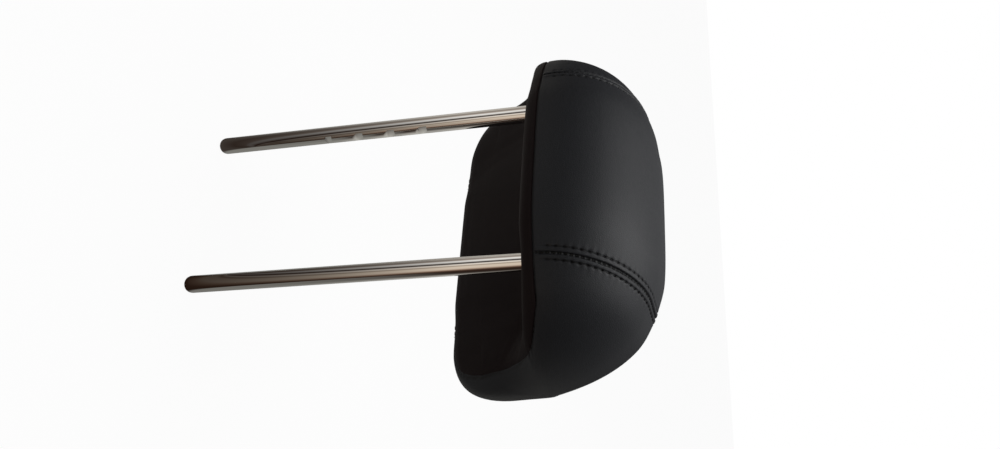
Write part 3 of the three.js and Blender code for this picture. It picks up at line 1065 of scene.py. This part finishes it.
class HEADREST_OT_foam(bpy.types.Operator):
    """Makes the foam core, pressed in by the cover, with the rod's channel"""

    bl_idname = "headrest.foam"
    bl_label = "Foam Core"

    def execute(self, context):
        scene = context.scene
        shape, cover, rod = scene.headrest_cushion, scene.headrest_cover, scene.headrest_posts
        half = shape.width / 2
        lines = outlines(shape, FOAM_STEP)
        end = end_stations(FOAM_FIRST, half, 26, 8)
        across = np.concatenate([-end[::-1], [0], end])
        points = skin(shape, cover, lines, across)
        # pressed in all round, and at the ends only along the width
        pressed = outward(points) * cover.foam_inset
        pressed[:, :, 1:] *= smooth_step(half - np.abs(points[:, :, :1]), 0, FOAM_FADE)
        pressed[:, :, 0] = points[:, :, 0] * cover.foam_inset / half
        moulded = make_object(wrapped_grid(points - pressed), "moulded")
        core = make_object(with_channel(moulded, rod, cover), "moulded_foam", foam_finish())
        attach(core, "root")
        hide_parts("foam_core")
        return {"FINISHED"}


# Stage


def area_light(name, place, aim, width, power):
    """A soft square lamp that faces a point."""
    light = bpy.data.lights.new(name, "AREA")
    light.shape, light.size, light.energy = "SQUARE", width, power
    lamp = bpy.data.objects.new(name, light)
    facing = (Vector(place) - Vector(aim)).to_track_quat("Z", "Y").to_matrix().to_4x4()
    lamp.matrix_world = Matrix.Translation(place) @ facing
    bpy.context.scene.collection.objects.link(lamp)


def shows_background(tree):
    """A socket that is 1 for the rays that see the background: camera, glossy and transmission rays."""
    path = add(tree, "ShaderNodeLightPath").outputs
    shown = path["Is Camera Ray"]
    for kind in ("Is Glossy Ray", "Is Transmission Ray"):
        shown = add(tree, "ShaderNodeMath", {0: shown, 1: path[kind]}, operation="MAXIMUM").outputs[0]
    return shown


# Bearing in degrees from +X towards +Y, and the tone of the strip that stands there
FLAG_TONES = (
    (9, "#CCC8C2"),
    (28, "#8E8680"),
    (48, "#BCB2AA"),
    (58, "#FFFFFF"),
    (66, "#FFFFFF"),
    (77, "#BCB8B4"),
    (85, "#2A2426"),
    (91, "#2A2426"),
    (96, "#9C9694"),
    (103, "#FCF4EA"),
    (108, "#FCF4EA"),
    (119, "#A8988A"),
    (130, "#EADCCB"),
    (150, "#E4D4C4"),
    (160, "#B49C8A"),
    (171, "#5E483D"),
    (179.9, "#3A2A22"),
    (180, "#3A2A22"),
    (198, "#2A201B"),
    (212, "#4A423D"),
    (226, "#8E8A86"),
    (245, "#C4C4C0"),
    (299, "#A6A29C"),
)
BACK_DRAPE, FRONT_DRAPE = "#8E8E8E", "#101012"  # the curtain behind the headrest and in front of it
FOOT_SHADE, FOOT_LIGHT = "#241812", "#838380"  # the floor at the posts' feet, behind them and in front
RUN = 3.9  # how far a ray that a post reflects to the camera goes on for each metre that it sinks
SHADED, UNSHADED = -0.95, -0.15  # RUN times the heights on a post between which the strips come in


def flag_finish():
    # Studio flags, seen only by reflections: a dark curtain above, and light and dark strips below it.
    material, tree = new_material("studio_flags")
    material.cycles.emission_sampling = "NONE"
    place = add(tree, "ShaderNodeTexCoord").outputs["Object"]
    where = add(tree, "ShaderNodeSeparateXYZ", {"Vector": place}).outputs

    bearing = add(tree, "ShaderNodeTexGradient", {"Vector": place}, gradient_type="RADIAL")
    strips = add(tree, "ShaderNodeValToRGB", {"Fac": bearing.outputs["Fac"]})
    tones = strips.color_ramp.elements
    tones.remove(tones[0])
    for i, (degrees, code) in enumerate(FLAG_TONES):
        # a radial gradient is 0 towards -X and grows through -Y, +X and +Y
        at = ((degrees - 180) % 360) / 360
        tone = tones.new(at) if i else tones[0]
        tone.position = at
        tone.color = linear(code)

    # the curtain goes dark towards the front, and hangs down to the level of the lip
    front = add(tree, "ShaderNodeMapRange", {"Value": where["Y"]}, interpolation_type="SMOOTHSTEP")
    front.inputs["From Min"].default_value = -0.5
    front.inputs["From Max"].default_value = -0.25
    drape = add(tree, "ShaderNodeMix", {"Factor": front.outputs[0]}, data_type="RGBA")
    drape.inputs[6].default_value = linear(BACK_DRAPE)
    drape.inputs[7].default_value = linear(FRONT_DRAPE)
    curtain = add(tree, "ShaderNodeMapRange", {"Value": where["Z"]}, interpolation_type="SMOOTHSTEP")
    curtain.inputs["From Min"].default_value = -0.06
    curtain.inputs["From Max"].default_value = -0.02

    # RUN times the height on a post from which a ray lands here, on the disc or further on up the wall
    level = add(tree, "ShaderNodeMapping", {"Vector": place}, Scale=(1.0, 1.0, 0.0))
    away = add(tree, "ShaderNodeVectorMath", {0: level.outputs[0]}, operation="LENGTH").outputs["Value"]
    origin = add(tree, "ShaderNodeMath", {0: where["Z"], 2: away}, operation="MULTIPLY_ADD", i1=RUN)
    reach = add(tree, "ShaderNodeMapRange", {"Value": origin.outputs[0]}, interpolation_type="SMOOTHSTEP")
    reach.inputs["From Min"].default_value = SHADED
    reach.inputs["From Max"].default_value = UNSHADED
    reach.inputs["To Min"].default_value = 0.05
    # the floor at the feet has two tones, with a narrow change from one to the other below the posts
    side = add(tree, "ShaderNodeMapRange", {"Value": where["Y"]})
    side.inputs["From Min"].default_value = 0.0
    side.inputs["From Max"].default_value = -0.006
    foot = add(tree, "ShaderNodeMix", {"Factor": side.outputs[0]}, data_type="RGBA")
    foot.inputs[6].default_value = linear(FOOT_SHADE)
    foot.inputs[7].default_value = linear(FOOT_LIGHT)

    laid = add(tree, "ShaderNodeMix", {"Factor": reach.outputs[0], 6: foot.outputs[2], 7: strips.outputs[0]},
               data_type="RGBA")
    shade = add(tree, "ShaderNodeMix",
                {"Factor": curtain.outputs[0], 6: laid.outputs[2], 7: drape.outputs[2]}, data_type="RGBA")
    glow = add(tree, "ShaderNodeEmission", {"Color": shade.outputs[2]})
    add(tree, "ShaderNodeOutputMaterial", {"Surface": glow.outputs[0]})
    return material


# The camera that was fitted to the photograph: its place, the directions of its own right and of its view,
# and its lens in millimetres on a sensor 36 wide
EYE = (-0.3464, 0.5170, 0.1359)
RIGHT = (0.0632, -0.2515, 0.9658)
AHEAD = (0.5063, -0.8258, -0.2482)
LENS = 34.57


def add_camera(scene):
    """The photograph's viewpoint: beside and behind, rolled so that the posts point left."""
    eye = bpy.data.cameras.new("camera")
    eye.sensor_width, eye.lens, eye.clip_start = 36, LENS, 0.01
    right = Vector(RIGHT).normalized()
    ahead = Vector(AHEAD).normalized()
    down = ahead.cross(right).normalized()
    right = down.cross(ahead)
    camera = bpy.data.objects.new("camera", eye)
    turn = Matrix((right, -down, -ahead)).transposed().to_4x4()
    camera.matrix_world = Matrix.Translation(EYE) @ turn
    scene.collection.objects.link(camera)
    scene.camera = camera


FLOOR_BELOW = 0.0005  # how far the floor lies below the tips
FLOOR_HALF = 12
FLOOR_WHITE = 0.96  # share of plain white in the floor that the camera sees


def add_floor(scene):
    """A pale floor under the tips, white to the camera but for a trace of the shadow."""
    bm = bmesh.new()
    bmesh.ops.create_grid(bm, x_segments=1, y_segments=1, size=FLOOR_HALF)
    bmesh.ops.translate(bm, vec=(0, 0, CAD_BOX[0][2] - FLOOR_BELOW), verts=bm.verts)
    material, tree = new_material("painted_floor")
    paint = add(tree, "ShaderNodeBsdfDiffuse")
    paint.inputs["Color"].default_value = tuple(scene.headrest_colours.floor)
    glow = add(tree, "ShaderNodeEmission", Strength=1.0)
    share = add(tree, "ShaderNodeMath", {0: shows_background(tree)}, operation="MULTIPLY")
    share.inputs[1].default_value = FLOOR_WHITE
    blend = add(tree, "ShaderNodeMixShader", {0: share.outputs[0], 1: paint.outputs[0], 2: glow.outputs[0]})
    add(tree, "ShaderNodeOutputMaterial", {"Surface": blend.outputs[0]})
    make_object(bm, "floor", material)


FLAGS_BELOW = 0.0002  # how far the foot of the flags lies below the tips, just above the floor
FLAGS_RADIUS, FLAGS_HEIGHT = 0.6, 1.4


def add_flags():
    """A round wall of flags with a disc for its foot. Only reflections see it."""
    bm = bmesh.new()
    foot = Matrix.Translation((0, 0, CAD_BOX[0][2] - FLAGS_BELOW))
    bmesh.ops.create_circle(bm, cap_ends=True, segments=96, radius=FLAGS_RADIUS, matrix=foot)
    rim = [e for e in bm.edges if e.is_boundary]
    grown = bmesh.ops.extrude_edge_only(bm, edges=rim)["geom"]
    bmesh.ops.translate(bm, vec=(0, 0, FLAGS_HEIGHT), verts=vertices(grown))
    flags = make_object(bm, "studio_flags", flag_finish())
    flags.visible_camera = flags.visible_diffuse = flags.visible_transmission = False
    flags.visible_shadow = flags.visible_volume_scatter = False


def add_world(scene):
    """A white background with a low, even light."""
    world = bpy.data.worlds.new("studio")
    scene.world = world
    world.use_nodes = True
    tree = world.node_tree
    tree.nodes.clear()
    level = add(tree, "ShaderNodeMapRange", {"Value": shows_background(tree)})
    level.inputs["To Min"].default_value = 0.05
    level.inputs["To Max"].default_value = 1.0
    sky = add(tree, "ShaderNodeBackground", {"Strength": level.outputs[0]})
    sky.inputs["Color"].default_value = (1, 1, 1, 1)
    add(tree, "ShaderNodeOutputWorld", {"Surface": sky.outputs[0]})


class HEADREST_OT_stage(bpy.types.Operator):
    """Sets up the floor, the lamps and the camera"""

    bl_idname = "headrest.stage"
    bl_label = "Stage"

    def execute(self, context):
        context.scene.view_settings.view_transform = "Standard"
        add_camera(context.scene)
        add_floor(context.scene)
        add_flags()
        add_world(context.scene)
        area_light("key", (0.12, 0.05, 1.2), (0, 0, 0.03), 1.2, 15)
        area_light("fill", (-0.9, 0.8, 0.5), (0, 0, 0), 0.9, 0.6)
        return {"FINISHED"}


OPERATORS = (
    HEADREST_OT_centre_panel,
    HEADREST_OT_side_panels,
    HEADREST_OT_underside_panel,
    HEADREST_OT_stitches,
    HEADREST_OT_posts,
    HEADREST_OT_foam,
    HEADREST_OT_stage,
)


class HEADREST_PT_sidebar(bpy.types.Panel):
    """Lists the headrest's pieces"""

    bl_label = "Headrest"
    bl_idname = "HEADREST_PT_sidebar"
    bl_space_type = "VIEW_3D"
    bl_region_type = "UI"
    bl_category = "Headrest"

    def draw(self, context):
        for operator in OPERATORS:
            self.layout.operator(operator.bl_idname)
        for group in ("cushion", "cover", "posts", "colours"):
            settings = getattr(context.scene, "headrest_" + group)
            box = self.layout.box()
            for key in settings.__annotations__:
                box.prop(settings, key)


GROUPS = {
    "headrest_cushion": HeadrestCushion,
    "headrest_cover": HeadrestCover,
    "headrest_posts": HeadrestPosts,
    "headrest_colours": HeadrestColours,
}


def register():
    for group in (*GROUPS.values(), *OPERATORS, HEADREST_PT_sidebar):
        bpy.utils.register_class(group)
    for name, group in GROUPS.items():
        setattr(bpy.types.Scene, name, bpy.props.PointerProperty(type=group))


def unregister():
    for name in GROUPS:
        delattr(bpy.types.Scene, name)
    for group in (HEADREST_PT_sidebar, *reversed(OPERATORS), *GROUPS.values()):
        bpy.utils.unregister_class(group)


def main():
    register()
    for operator in OPERATORS:
        family, name = operator.bl_idname.split(".")
        getattr(getattr(bpy.ops, family), name)()


if __name__ == "__main__":
    main()
